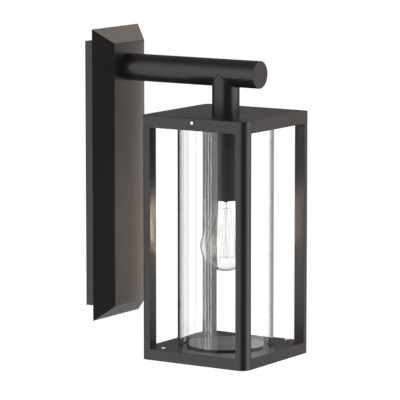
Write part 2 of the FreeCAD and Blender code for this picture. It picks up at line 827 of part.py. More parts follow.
def make_base_plate():
    body = new_body("base_plate", LANTERN)
    square_lid(body, BASE_BOTTOM, "base_top", "base_skin", "base_wall")
    groove = new_sketch(body, "XY_Plane", "base_top")
    circle(groove, "seat_outer")
    circle(groove, "seat_inner")
    pocket(body, groove, "seat_depth")
    disc = new_sketch(body, "XY_Plane", "base_top")
    circle(disc, "seat_inner")
    pad(body, disc, "seat_rise")
    round_edges(body, "edge_round", lies_at("Z", number("base_top + seat_rise")))
    holes = new_sketch(body, "XY_Plane", "base_top")
    for across, up in CORNERS:
        at = (f"{across} * {POST_SCREW_AT}", f"{up} * {POST_SCREW_AT}")
        circle(holes, "post_screw_radius + screw_play", *at)
    for across, up in BASE_SCREW_SIDES:
        circle(holes, "base_screw_radius + screw_play", *base_screw_place(across, up))
    pocket(body, holes, "base_skin")


def make_base_cover():
    body = new_body("base_cover", LANTERN)
    half = f"({BASE_INNER_HALF} - cover_play)"
    plate = new_sketch(body, "XY_Plane", BASE_BOTTOM)
    rectangle(plate, f"(2 * {half})", f"(2 * {half})")
    pad(body, plate, "cover_thick")
    round_edges(body, "lantern_corner - base_wall - cover_play", stands_at(half))
    bosses = new_sketch(body, "XY_Plane", COVER_TOP)
    bores = new_sketch(body, "XY_Plane", BASE_UNDER)
    for across, up in BASE_SCREW_SIDES:
        at = base_screw_place(across, up)
        circle(bosses, "boss_radius", *at)
        circle(bores, "base_screw_radius", *at)
    pad(body, bosses, f"{BASE_UNDER} - {COVER_TOP}")
    pocket(body, bores, "boss_bore_depth")


def make_glass():
    ring("glass_cylinder", "glass_radius", "(glass_radius - glass_wall)", GLASS_BOTTOM, GLASS_TOP)
    ring("glass_seat_gasket", "ring_outer", "ring_inner", "(base_top - seat_depth)", GLASS_BOTTOM)
    ring("glass_top_gasket", "ring_outer", "ring_inner", f"({CAP_UNDER} - top_ring_thick)", CAP_UNDER)


# ---- lamp -------------------------------------------------------------------------------------------

def bulb_arcs(sketch, inset):
    """One skin of the bulb: a concave neck arc that runs into a round lower arc ending on the axis."""
    radius = number(f"bulb_radius - {inset}")
    centre = number("bulb_centre")
    shoulder = number("bulb_shoulder")
    neck = FreeCAD.Vector(number(f"bulb_neck_radius - {inset}"), number("bulb_neck_top"), 0)
    wide = FreeCAD.Vector(math.sqrt(radius ** 2 - (shoulder - centre) ** 2), shoulder, 0)
    chord = wide - neck
    curve = number(f"bulb_neck_curve + {inset}")
    sagitta = curve - math.sqrt(curve ** 2 - chord.Length ** 2 / 4)
    inward = FreeCAD.Vector(chord.y, -chord.x, 0).normalize()
    first = sketch.addGeometry(Part.Arc(neck, (neck + wide) * 0.5 + inward * sagitta, wide), False)
    start = math.atan2(wide.y - centre, wide.x)
    middle = (start - math.pi / 2) / 2
    side = FreeCAD.Vector(radius * math.cos(middle), centre + radius * math.sin(middle), 0)
    bottom = FreeCAD.Vector(0, centre - radius, 0)
    second = sketch.addGeometry(Part.Arc(wide, side, bottom), False)
    neck_end, wide_end = arc_ends(sketch, first, neck)
    shoulder_end, bottom_end = arc_ends(sketch, second, wide)
    pin(sketch, first, neck_end, f"bulb_neck_radius - {inset}", "bulb_neck_top")
    sketch.addConstraint(Sketcher.Constraint("Coincident", first, wide_end, second, shoulder_end))
    bound_constraint(sketch, "-bulb_shoulder", "DistanceY", second, shoulder_end, -1, 1)
    sketch.addConstraint(Sketcher.Constraint("PointOnObject", second, bottom_end, -2))
    pin(sketch, second, 3, "0", "bulb_centre")
    bound_constraint(sketch, f"bulb_radius - {inset}", "Radius", second)
    bound_constraint(sketch, f"bulb_neck_curve + {inset}", "Radius", first)
    return (first, neck_end), (second, bottom_end)


def arc_ends(sketch, index, start):
    """The arc's end numbers, the end at the given place first."""
    starts_there = sketch.getPoint(index, 1).distanceToPoint(start) < TINY
    return (1, 2) if starts_there else (2, 1)


def make_bulb_glass():
    body = new_body("bulb_glass", LANTERN)
    profile = new_sketch(body, "XZ_Plane")
    outer_neck, outer_bottom = bulb_arcs(profile, "0")
    inner_neck, inner_bottom = bulb_arcs(profile, "bulb_wall")
    for one, other in ((outer_neck, inner_neck), (outer_bottom, inner_bottom)):
        one_at = profile.getPoint(*one)
        other_at = profile.getPoint(*other)
        line = profile.addGeometry(Part.LineSegment(one_at, other_at), False)
        profile.addConstraint(Sketcher.Constraint("Coincident", line, 1, *one))
        profile.addConstraint(Sketcher.Constraint("Coincident", line, 2, *other))
    revolve(body, profile)


def make_lamp_cap():
    ring("bulb_screw_cap", "lamp_cap_radius", "(lamp_cap_radius - lamp_cap_wall)", "bulb_neck_top",
         "lamp_cap_top")
    insulator = new_body("bulb_insulator", LANTERN)
    profile = new_sketch(insulator, "XZ_Plane")
    rim = "lamp_cap_radius - lamp_cap_wall"
    outline(profile, [("0", "lamp_cap_top - insulator_skirt"), (rim, "lamp_cap_top - insulator_skirt"),
                      (rim, "lamp_cap_top"), ("contact_radius", "insulator_top"), ("0", "insulator_top")])
    revolve(insulator, profile)
    contact = new_body("bulb_contact", LANTERN)
    button = new_sketch(contact, "XY_Plane", "insulator_top")
    circle(button, "contact_radius")
    pad(contact, button, "contact_top - insulator_top")
    round_edges(contact, "contact_round", lies_at("Z", number("contact_top")))


def make_bulb_stem():
    body = new_body("bulb_stem", LANTERN)
    profile = new_sketch(body, "XZ_Plane")
    flare = "(bulb_neck_radius - bulb_wall - flare_play)"
    outline(profile, [("0", "flare_top"), (flare, "flare_top"), (flare, "flare_low"),
                      ("pinch_radius", "pinch_height"), ("glass_rod_radius", "glass_rod_top"),
                      ("glass_rod_radius", "glass_rod_bottom"), ("0", "glass_rod_bottom")])
    revolve(body, profile)


def hook_places(level):
    """Where the filament turns: at the top ring it turns halfway between the bottom ring's turns."""
    radius = number(f"filament_{level}_radius")
    height = number(f"filament_{level}")
    offset = 0.5 if level == "top" else 0.0
    places = []
    for index in range(FILAMENT_TURNS):
        angle = 2 * math.pi * (index + offset) / FILAMENT_TURNS
        places.append(FreeCAD.Vector(radius * math.cos(angle), radius * math.sin(angle), height))
    return places


def rod(start, end, radius):
    return Part.makeCylinder(radius, (end - start).Length, start, end - start)


def on_lantern_axis(label, shape):
    feature = doc.addObject("Part::Feature", f"Shape_{label}")
    feature.Shape = shape
    place(feature, LANTERN)
    keep(feature, label)


def make_filament():
    thick = number("filament_thick")
    tops = hook_places("top")
    bottoms = hook_places("bottom")
    strands = []
    for index, bottom in enumerate(bottoms):
        before, after = tops[index - 1], tops[index]
        strands.append(rod(bottom, after, thick))
        if index > 0:
            strands.append(rod(before, bottom, thick))
            strands.append(Part.makeSphere(thick, bottom))
            strands.append(Part.makeSphere(thick, before))
    on_lantern_axis("bulb_filament", strands[0].fuse(strands[1:]).removeSplitter())


def make_filament_supports():
    thick = number("support_thick")
    gap = number("support_gap")
    rod_radius = number("glass_rod_radius")
    wires = []
    for turn in hook_places("top") + hook_places("bottom"):
        outward = FreeCAD.Vector(turn.x, turn.y, 0).normalize()
        start = FreeCAD.Vector(0, 0, turn.z) + outward * rod_radius
        wires.append(rod(start, turn - outward * gap, thick))
    on_lantern_axis("bulb_supports", Part.makeCompound(wires))


# ---- leads ------------------------------------------------------------------------------------------

def rounded_path(points, label):
    """Straight runs joined by tangent arcs, each as large as its two runs allow."""
    edges = []
    start = points[0]
    radii = []
    for index in range(1, len(points) - 1):
        corner = points[index]
        back, ahead = points[index - 1] - corner, points[index + 1] - corner
        turn = math.pi - back.getAngle(ahead)
        setback = 0.45 * min(back.Length, ahead.Length)
        radii.append(setback / math.tan(turn / 2))
        back.normalize()
        ahead.normalize()
        enter, leave = corner + back * setback, corner + ahead * setback
        inward = (back + ahead).normalize()
        to_centre = radii[-1] / math.cos(turn / 2)
        middle = corner + inward * (to_centre - radii[-1])
        edges.append(Part.LineSegment(start, enter).toShape())
        edges.append(Part.Arc(enter, middle, leave).toShape())
        start = leave
    edges.append(Part.LineSegment(start, points[-1]).toShape())
    print(label, "bend radii:", [round(radius, 1) for radius in radii])
    return Part.Wire(edges)


def make_lead(label, radius, places):
    points = [FreeCAD.Vector(*place_of) for place_of in places]
    path = rounded_path(points, label)
    direction = points[1] - points[0]
    section = Part.Wire(Part.makeCircle(radius, points[0], direction))
    solid = path.makePipeShell([section], True, False)
    expected = math.pi * radius ** 2 * path.Length
    if abs(solid.Volume / expected - 1) > 0.01:
        raise RuntimeError(f"{label}: the tube's volume is {solid.Volume:.1f}, not {expected:.1f}")
    feature = doc.addObject("Part::Feature", f"Shape_{label}")
    feature.Shape = solid
    feature.Placement = FreeCAD.Placement()
    keep(feature, label)


def lead_routes():
    """Each lead's route, from its terminal to its wire nut. The middle runs lie in the stem and arm."""
    out = number("axis_out")
    up = number("arm_height")
    black = [(4.4, 12.0 - out, 34), (3.8, 10.6 - out, 47), (1.5, 0.9 - out, 62), (1.4, 0.3 - out, 90),
             (2.2, 0.4 - out, up - 2.5), (3.4, 36 - out, up + 2), (2.2, 72 - out, up - 2),
             (1.5, 104 - out, up + 0.3), (1.4, -16, up), (9, -12, 101), (15, -13, 80)]
    white = [(-4.4, -12.0 - out, 34), (-3.8, -10.6 - out, 47), (-1.5, -0.9 - out, 62),
             (-1.4, -0.3 - out, 90), (-2.4, -0.6 - out, up - 4), (-3.6, 33 - out, up - 3),
             (-2.4, 68 - out, up + 2), (-1.6, 101 - out, up - 0.3), (-1.4, -15, up), (-9, -11.5, 102),
             (-15, -13, 80)]
    screw_across = number("ground_screw_across")
    ground = [(screw_across, -3, 28), (7, -5, 40), (1, -9, 50), (0, -10, 60)]
    return black, white, ground


def make_leads():
    black, white, ground = lead_routes()
    make_lead("lead_black", number("lead_radius"), black)
    make_lead("lead_white", number("lead_radius"), white)
    make_lead("ground_lead", number("ground_lead_radius"), ground)
    nuts = []
    for end, rotation, side in ((black[-1], DOWN, 1), (white[-1], DOWN, 1), (ground[-1], UP, -1)):
        cone = doc.addObject("Part::Cone", "WireNut")
        bind(cone, "Radius1", "wire_nut_radius")
        bind(cone, "Radius2", "wire_nut_tip_radius")
        bind(cone, "Height", "wire_nut_length")
        nut = cut_from(cone, cylinder("wire_nut_bore", "wire_nut_bore_depth"))
        mouth = FreeCAD.Vector(*end) + FreeCAD.Vector(0, 0, side * number("lead_in_nut"))
        nut.Placement = FreeCAD.Placement(mouth, rotation)
        nuts.append(nut)
    group("wire_nuts", nuts)


# ---- whole ------------------------------------------------------------------------------------------

def check_and_export():
    doc.recompute()
    for thing in doc.Objects:
        faults = {"Invalid", "Error"}.intersection(thing.State)
        if faults:
            raise RuntimeError(f"{thing.Label}: {faults}")
    os.makedirs("parts", exist_ok=True)
    for piece in pieces:
        if piece.Shape.isNull() or not piece.Shape.isValid() or piece.Shape.Volume < TINY:
            raise RuntimeError(f"{piece.Label}: bad shape")
    for piece in pieces:
        piece.Shape.exportStep(f"parts/{piece.Label}.step")
    print(len(pieces), "sub-parts written")


fill_sheet()
make_wall_gasket()
make_mounting_strap()
make_back_pan()
make_canopy()
make_wall_screws()
make_arm_tube()
make_arm_end_cap()
make_arm_fastening()
make_stem()
make_roof_cap()
make_clamp_screws()
make_socket_cover()
make_socket_bracket()
make_socket_body()
make_socket_metal()
make_top_frame()
make_posts()
make_base_plate()
make_base_cover()
make_cage_screws()
make_glass()
make_bulb_glass()
make_lamp_cap()
make_bulb_stem()
make_filament()
make_filament_supports()
make_leads()
check_and_export()
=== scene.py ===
import math

import bmesh
import bpy
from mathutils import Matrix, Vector


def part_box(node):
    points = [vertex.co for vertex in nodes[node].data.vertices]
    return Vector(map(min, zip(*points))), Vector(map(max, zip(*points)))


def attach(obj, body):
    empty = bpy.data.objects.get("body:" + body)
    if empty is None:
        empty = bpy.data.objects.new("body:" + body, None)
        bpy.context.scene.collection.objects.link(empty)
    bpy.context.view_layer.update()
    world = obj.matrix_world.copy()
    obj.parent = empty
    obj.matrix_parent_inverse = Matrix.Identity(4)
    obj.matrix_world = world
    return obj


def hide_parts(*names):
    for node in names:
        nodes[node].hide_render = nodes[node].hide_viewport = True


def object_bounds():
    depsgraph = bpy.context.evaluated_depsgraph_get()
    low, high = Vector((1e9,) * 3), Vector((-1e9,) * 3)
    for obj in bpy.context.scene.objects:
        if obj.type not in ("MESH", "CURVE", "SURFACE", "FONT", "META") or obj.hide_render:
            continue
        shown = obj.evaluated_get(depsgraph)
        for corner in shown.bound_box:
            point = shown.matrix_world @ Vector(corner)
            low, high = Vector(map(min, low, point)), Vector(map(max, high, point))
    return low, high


# Looks of the outdoor wall lantern. Metres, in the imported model's frame: +X right along the wall,
# -Y out of the wall, +Z up. Places and sizes come from the frame's own boxes.

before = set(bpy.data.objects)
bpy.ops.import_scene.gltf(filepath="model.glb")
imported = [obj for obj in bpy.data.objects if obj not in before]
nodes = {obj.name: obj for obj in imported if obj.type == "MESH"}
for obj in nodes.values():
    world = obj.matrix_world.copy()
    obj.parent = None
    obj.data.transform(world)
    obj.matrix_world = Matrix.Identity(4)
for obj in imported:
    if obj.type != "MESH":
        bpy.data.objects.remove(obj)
cad_low, cad_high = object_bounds()
scene = bpy.context.scene

MM = 0.001
FULL_TURN = 2 * math.pi
WHITE = (1.0, 1.0, 1.0)


def centre_of(node):
    """The middle of a node's box."""
    low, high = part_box(node)
    return (low + high) / 2


# A point on the upright line that the glass tube, the lamp and its socket share.
AXIS = Vector((*centre_of("glass_cylinder").xy, 0.0))


# ---- camera, stage and lights -----------------------------------------------------------------------

# Angles are in degrees. The line of sight passes the axis this far to its side, and this far above the
# base plate's underside. The lens and the sensor's width are in millimetres.
CAMERA_AZIMUTH = 57.14
CAMERA_ELEVATION = 8.1
CAMERA_DISTANCE = 3.627
CAMERA_SIDEWAYS = -0.0299
CAMERA_ABOVE_BASE = 0.182
CAMERA_LENS = 278.6
CAMERA_REACH = 100.0
SENSOR = 36.0


def direction(azimuth, elevation):
    """From the lantern towards a camera or lamp that looks at it from the given angles, in degrees."""
    turn, rise = math.radians(azimuth), math.radians(elevation)
    return Vector((-math.sin(turn) * math.cos(rise), -math.cos(turn) * math.cos(rise), math.sin(rise)))


def aim(thing, back):
    """Makes a camera or lamp look the opposite way to back."""
    thing.rotation_mode = "QUATERNION"
    thing.rotation_quaternion = (-back).to_track_quat("-Z", "Y")


def make_camera():
    """Looks at the lantern from the front left and a little above."""
    back = direction(CAMERA_AZIMUTH, CAMERA_ELEVATION)
    right = direction(CAMERA_AZIMUTH - 90, 0)
    upward = back.cross(right)
    foot = AXIS + Vector((0.0, 0.0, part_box("base_plate")[0].z))
    data = bpy.data.cameras.new("camera")
    data.lens = CAMERA_LENS
    data.sensor_width = SENSOR
    data.clip_end = CAMERA_REACH
    camera = bpy.data.objects.new("camera", data)
    scene.collection.objects.link(camera)
    camera.location = foot + right * CAMERA_SIDEWAYS + upward * CAMERA_ABOVE_BASE + back * CAMERA_DISTANCE
    aim(camera, back)
    scene.camera = camera


PANEL_DISTANCE = 2.2
NEAR_DISTANCE = 0.6
PANEL_HEIGHT = 3.4
WARM = (1.0, 0.86, 0.72)
AMBER = (1.0, 0.60, 0.32)
CREAM = (1.0, 0.90, 0.80)


def add_panel(name, azimuth, elevation, wide, high, radiance,
              colour=WHITE, distance=PANEL_DISTANCE, target=None):
    """A soft rectangular lamp that faces the lantern, or another target, with an even brightness."""
    back = direction(azimuth, elevation)
    centre = (cad_low + cad_high) / 2 if target is None else target
    data = bpy.data.lights.new(name, "AREA")
    data.shape = "RECTANGLE"
    data.size = wide
    data.size_y = high
    data.energy = math.pi * wide * high * radiance
    data.color = colour
    lamp = bpy.data.objects.new(name, data)
    scene.collection.objects.link(lamp)
    lamp.location = centre + back * distance
    aim(lamp, back)
    lamp.visible_camera = False
    return lamp


def light_only(lamps, name, things):
    """Makes the lamps shine on the given things alone."""
    lit = bpy.data.collections.new(name)
    for thing in things:
        lit.objects.link(thing)
    for lamp in lamps:
        lamp.light_linking.receiver_collection = lit


def make_lights():
    """Wide soft boxes left and right of the camera, and small warm fills."""
    add_panel("soft_box_left", azimuth=101.0, elevation=-4.0, wide=2.0, high=PANEL_HEIGHT, radiance=1.4)
    add_panel("soft_box_far_left", azimuth=150.0, elevation=-2.0, wide=2.2, high=4.6, radiance=1.05)
    add_panel("soft_box_right", azimuth=-21.0, elevation=-2.0, wide=2.2, high=PANEL_HEIGHT, radiance=2.1)
    add_panel("soft_box_far_right", azimuth=-66.0, elevation=-2.0, wide=1.0, high=PANEL_HEIGHT,
              radiance=0.25)
    add_panel("top_fill", azimuth=-86.0, elevation=40.0, wide=1.3, high=1.1, radiance=1.4, colour=WARM)
    add_panel("warm_bounce", azimuth=-57.0, elevation=-9.0, wide=0.3, high=0.4, radiance=0.45,
              colour=WARM, distance=NEAR_DISTANCE)


EDGE_STRIP_DISTANCE = 0.04
EDGE_STRIP_DROP = 0.06


def light_canopy():
    """For the canopy alone: a low panel, a warm panel, and a warm strip close to its front's right edge."""
    low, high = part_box("canopy")
    edge = Vector((high.x, low.y, (low.z + high.z) / 2 - EDGE_STRIP_DROP))
    low_panel = add_panel("low_fill", azimuth=-100.0, elevation=-36.0, wide=1.2, high=1.0, radiance=0.5)
    warmth = add_panel("canopy_warmth", azimuth=-57.0, elevation=-27.0, wide=0.3, high=0.4, radiance=0.5,
                       colour=AMBER, distance=NEAR_DISTANCE)
    strip = add_panel("canopy_bounce", azimuth=-CAMERA_AZIMUTH, elevation=0.0, wide=0.010, high=0.42,
                      radiance=7.5, colour=CREAM, distance=EDGE_STRIP_DISTANCE, target=edge)
    light_only([low_panel, warmth, strip], "canopy_lit", [nodes["canopy"]])


def light_base_screws():
    """A panel behind the lantern that the flat screw heads on the base mirror."""
    panel = add_panel("screw_glint", azimuth=CAMERA_AZIMUTH + 180, elevation=10.0, wide=1.4, high=1.0,
                      radiance=1.6)
    light_only([panel], "glint_lit", [nodes["base_screws"]])


GLASS_STRIP_AZIMUTHS = (91.5, 98.0, 105.5)


def light_glass(tube, envelope):
    """For the glass alone: thin strips for the bright lines down it, a panel for the tube's right edge."""
    strips = [add_panel("strip", azimuth, elevation=-8.0, wide=0.07, high=PANEL_HEIGHT, radiance=6.0)
              for azimuth in GLASS_STRIP_AZIMUTHS]
    light_only(strips, "streaked_glass", [tube, envelope])
    rim_light = add_panel("rim_light", azimuth=-106.0, elevation=-6.0, wide=1.4, high=PANEL_HEIGHT,
                          radiance=0.32)
    light_only([rim_light], "rim_lit_glass", [tube])


def straight_path(tree):
    """1 for rays that have only been looked along or bent through glass; 0 once they bounce off anything."""
    path = tree.nodes.new("ShaderNodeLightPath")
    bounces = tree.nodes.new("ShaderNodeMath")
    bounces.operation = "ADD"
    tree.links.new(path.outputs["Glossy Depth"], bounces.inputs[0])
    tree.links.new(path.outputs["Diffuse Depth"], bounces.inputs[1])
    straight = tree.nodes.new("ShaderNodeMath")
    straight.operation = "LESS_THAN"
    straight.inputs[1].default_value = 0.5  # fewer than half a bounce means none at all
    tree.links.new(bounces.outputs[0], straight.inputs[0])
    return straight.outputs[0]


REFLECTED_WORLD = (0.20, 0.20, 0.20)


def make_world():
    """White behind the lantern and through its glass; dim grey in what its surfaces reflect."""
    world = bpy.data.worlds.new("studio")
    scene.world = world
    world.use_nodes = True
    tree = world.node_tree
    tree.nodes.clear()
    output = tree.nodes.new("ShaderNodeOutputWorld")
    seen = tree.nodes.new("ShaderNodeBackground")
    seen.inputs["Color"].default_value = (*WHITE, 1.0)
    dim = tree.nodes.new("ShaderNodeBackground")
    dim.inputs["Color"].default_value = (*REFLECTED_WORLD, 1.0)
    mix = tree.nodes.new("ShaderNodeMixShader")
    tree.links.new(straight_path(tree), mix.inputs[0])
    tree.links.new(dim.outputs[0], mix.inputs[1])
    tree.links.new(seen.outputs[0], mix.inputs[2])
    tree.links.new(mix.outputs[0], output.inputs["Surface"])


FLOOR_HALF = 30.0
FLOOR_DROP = 2.6
FLOOR_TONE = (0.05, 0.05, 0.05)


def make_floor():
    """A wide floor far below: white where it is looked at, dark where it is only reflected."""
    mesh = bpy.data.meshes.new("studio_floor")
    half, level = FLOOR_HALF, cad_low.z - FLOOR_DROP
    mesh.from_pydata([(-half, -half, level), (half, -half, level), (half, half, level), (-half, half, level)],
                     [], [(0, 1, 2, 3)])
    floor = bpy.data.objects.new("studio_floor", mesh)
    scene.collection.objects.link(floor)
    surface = Surface("floor_paper")
    surface.set("Base Color", (*FLOOR_TONE, 1.0))
    surface.set("Roughness", 0.9)
    surface.set("Emission Color", (*WHITE, 1.0))
    surface.link(straight_path(surface.tree), surface.shader.inputs["Emission Strength"])
    surface.give(floor)


# ---- materials --------------------------------------------------------------------------------------

class Surface:
    """A Principled material with short helpers for its nodes."""

    def __init__(self, name):
        self.material = bpy.data.materials.new(name)
        self.material.use_nodes = True
        self.tree = self.material.node_tree
        self.shader = self.tree.nodes["Principled BSDF"]
        self.place = self.tree.nodes.new("ShaderNodeTexCoord").outputs["Object"]

    def set(self, name, value):
        """Sets one of the shader's inputs to a plain value."""
        self.shader.inputs[name].default_value = value

    def link(self, output, target):
        self.tree.links.new(output, target)

    def node(self, kind, **settings):
        """Adds a node with the given settings."""
        made = self.tree.nodes.new(kind)
        for name, value in settings.items():
            setattr(made, name, value)
        return made

    def noise(self, scale, detail=3.0, stretch=(1.0, 1.0, 1.0)):
        """Noise with about this many waves to the metre, closer together along a stretched axis."""
        mapping = self.node("ShaderNodeMapping")
        mapping.inputs["Scale"].default_value = stretch
        self.link(self.place, mapping.inputs["Vector"])
        made = self.node("ShaderNodeTexNoise")
        made.inputs["Scale"].default_value = scale
        made.inputs["Detail"].default_value = detail
        self.link(mapping.outputs["Vector"], made.inputs["Vector"])
        return made.outputs["Fac"]

    def spread(self, value, low=0.0, high=1.0, start=0.3, end=0.7):
        """Maps start to end, by default the range that noise mostly fills, onto low to high."""
        made = self.node("ShaderNodeMapRange")
        made.inputs["From Min"].default_value = start
        made.inputs["From Max"].default_value = end
        made.inputs["To Min"].default_value = low
        made.inputs["To Max"].default_value = high
        self.link(value, made.inputs["Value"])
        return made.outputs["Result"]

    def mix(self, share, first, second):
        """Mixes two colours, each a tuple or another node's output."""
        made = self.node("ShaderNodeMix", data_type="RGBA")
        self.link(share, made.inputs["Factor"])
        for socket, colour in ((made.inputs["A"], first), (made.inputs["B"], second)):
            if isinstance(colour, tuple):
                socket.default_value = (*colour, 1.0)
            else:
                self.link(colour, socket)
        return made.outputs["Result"]

    def times(self, first, second):
        """The product of two outputs."""
        made = self.node("ShaderNodeMath", operation="MULTIPLY")
        self.link(first, made.inputs[0])
        self.link(second, made.inputs[1])
        return made.outputs["Value"]

    def edges(self, radius):
        """0 on flats, and towards 1 on edges within the radius."""
        bevel = self.node("ShaderNodeBevel", samples=4)
        bevel.inputs["Radius"].default_value = radius
        geometry = self.node("ShaderNodeNewGeometry")
        dot = self.node("ShaderNodeVectorMath", operation="DOT_PRODUCT")
        self.link(bevel.outputs["Normal"], dot.inputs[0])
        self.link(geometry.outputs["Normal"], dot.inputs[1])
        return self.spread(dot.outputs["Value"], low=1.0, high=0.0, start=0.90, end=0.998)

    def bump(self, height, distance, strength):
        """Raises the surface by up to a distance where the height is 1."""
        made = self.node("ShaderNodeBump")
        made.inputs["Distance"].default_value = distance
        made.inputs["Strength"].default_value = strength
        self.link(height, made.inputs["Height"])
        self.link(made.outputs["Normal"], self.shader.inputs["Normal"])

    def colour(self, output):
        self.link(output, self.shader.inputs["Base Color"])

    def roughness(self, output):
        self.link(output, self.shader.inputs["Roughness"])

    def let_lamps_through(self):
        """Lets lamp light pass, so that glass throws no black shadow."""
        output = next(node for node in self.tree.nodes if node.type == "OUTPUT_MATERIAL")
        clear = self.node("ShaderNodeBsdfTransparent")
        path = self.node("ShaderNodeLightPath")
        mixer = self.node("ShaderNodeMixShader")
        self.link(path.outputs["Is Shadow Ray"], mixer.inputs[0])
        self.link(self.shader.outputs[0], mixer.inputs[1])
        self.link(clear.outputs[0], mixer.inputs[2])
        self.link(mixer.outputs[0], output.inputs["Surface"])

    def give(self, *things):
        """Makes this the only material of each thing."""
        for thing in things:
            thing.data.materials.clear()
            thing.data.materials.append(self.material)


COAT_DARK = (0.0105, 0.0095, 0.0095)
COAT_LIGHT = (0.0155, 0.0141, 0.0141)
COAT_FLECK = (0.024, 0.022, 0.020)
COAT_WORN = (0.070, 0.064, 0.058)
COAT_SHEEN = (1.0, 0.965, 0.99)
COAT_WORN_EDGE = 0.9 * MM


def powder_coat():
    """Satin bronze-black powder coat: fine orange peel, faint cloudiness, slightly burnished edges."""
    surface = Surface("powder_coat")
    cloud = surface.spread(surface.noise(9.0))
    fleck = surface.spread(surface.noise(900.0, detail=2.0), high=0.35)
    flecked = surface.mix(fleck, surface.mix(cloud, COAT_DARK, COAT_LIGHT), COAT_FLECK)
    patches = surface.spread(surface.noise(60.0), low=0.15, high=0.5)
    worn = surface.times(surface.edges(COAT_WORN_EDGE), patches)
    surface.colour(surface.mix(worn, flecked, COAT_WORN))
    surface.set("Specular Tint", (*COAT_SHEEN, 1.0))
    surface.roughness(surface.spread(surface.noise(26.0, detail=5.0), low=0.28, high=0.32))
    surface.bump(surface.noise(1500.0, detail=2.0), distance=0.01 * MM, strength=0.4)
    return surface


METAL_GRAIN = (1.0, 1.0, 8.0)


def worked_metal(name, low, high, roughness):
    """Plated or bare metal with a drawn grain and small stains."""
    surface = Surface(name)
    surface.set("Metallic", 1.0)
    stain = surface.spread(surface.noise(80.0))
    surface.colour(surface.mix(stain, low, high))
    lines = surface.noise(220.0, detail=4.0, stretch=METAL_GRAIN)
    surface.roughness(surface.spread(lines, roughness - 0.06, roughness + 0.08))
    surface.bump(lines, distance=0.02 * MM, strength=0.3)
    return surface


def plain_solid(name, low, high, roughness):
    """Rubber, plastic, porcelain or insulation: two close tones, a soft sheen and a fine surface."""
    surface = Surface(name)
    cloud = surface.spread(surface.noise(45.0))
    surface.colour(surface.mix(cloud, low, high))
    surface.roughness(surface.spread(surface.noise(300.0), roughness - 0.05, roughness + 0.05))
    surface.bump(surface.noise(600.0, detail=2.0), distance=0.03 * MM, strength=0.4)
    return surface


GLASS_SMEAR = 0.003


def clear_glass(name, face_tint, rim_tint, ior):
    """Clear glass, a little darker where it is looked at edge on, with the faintest smears."""
    surface = Surface(name)
    facing = surface.node("ShaderNodeLayerWeight")
    facing.inputs["Blend"].default_value = 0.5
    rim = surface.spread(facing.outputs["Facing"], start=0.55, end=1.0)
    surface.colour(surface.mix(rim, face_tint, rim_tint))
    surface.roughness(surface.spread(surface.noise(22.0, detail=4.0), high=GLASS_SMEAR))
    surface.set("Transmission Weight", 1.0)
    surface.set("IOR", ior)
    surface.let_lamps_through()
    return surface


STRAND_BLACK = (0.02, 0.02, 0.02)


def glowing(name, cool, hot, strength):
    """A lit carbon strand: black of its own, with a glow that wavers between two tones."""
    surface = Surface(name)
    surface.set("Base Color", (*STRAND_BLACK, 1.0))
    surface.roughness(surface.spread(surface.noise(400.0), low=0.5, high=0.7))
    glow = surface.mix(surface.spread(surface.noise(120.0)), cool, hot)
    surface.link(glow, surface.shader.inputs["Emission Color"])
    surface.set("Emission Strength", strength)
    return surface


def make_materials():
    """Every finish by its short name. Metals and solids vary between two tones."""
    return {
        "coat": powder_coat(),
        "zinc": worked_metal("zinc_plate", (0.42, 0.43, 0.44), (0.62, 0.61, 0.57), roughness=0.34),
        "bright": worked_metal("bright_steel", (0.62, 0.62, 0.62), (0.80, 0.80, 0.79), roughness=0.22),
        "brass": worked_metal("brass", (0.62, 0.42, 0.16), (0.78, 0.57, 0.26), roughness=0.25),
        "copper": worked_metal("bare_copper", (0.60, 0.27, 0.13), (0.78, 0.40, 0.22), roughness=0.3),
        "green": plain_solid("green_screw_dye", (0.02, 0.16, 0.05), (0.03, 0.26, 0.08), roughness=0.35),
        "rubber": plain_solid("black_rubber", (0.016, 0.016, 0.016), (0.028, 0.028, 0.028), roughness=0.75),
        "porcelain": plain_solid("porcelain", (0.80, 0.79, 0.74), (0.88, 0.87, 0.83), roughness=0.18),
        "vitrite": plain_solid("black_vitrite", (0.010, 0.010, 0.014), (0.020, 0.020, 0.026),
                               roughness=0.15),
        "black": plain_solid("black_insulation", (0.012, 0.012, 0.012), (0.024, 0.024, 0.024),
                             roughness=0.45),
        "white": plain_solid("white_insulation", (0.72, 0.72, 0.69), (0.80, 0.80, 0.78), roughness=0.45),
        "orange": plain_solid("orange_nut", (0.70, 0.20, 0.02), (0.82, 0.28, 0.04), roughness=0.35),
        "tube": clear_glass("tube_glass", (0.983, 0.987, 0.987), (0.84, 0.85, 0.85), ior=1.47),
        "lamp": clear_glass("lamp_glass", (0.99, 0.99, 0.985), (0.45, 0.45, 0.45), ior=1.45),
        "stem": clear_glass("stem_glass", (0.99, 0.99, 0.985), (0.85, 0.85, 0.85), ior=1.2),
        "filament": glowing("lit_filament", (0.88, 0.76, 0.60), (1.0, 0.90, 0.76), strength=0.4),
        "hook": plain_solid("hook_wire", (0.05, 0.05, 0.05), (0.09, 0.09, 0.09), roughness=0.5),
    }


POSTS = ("post_front_left", "post_front_right", "post_back_right", "post_back_left")

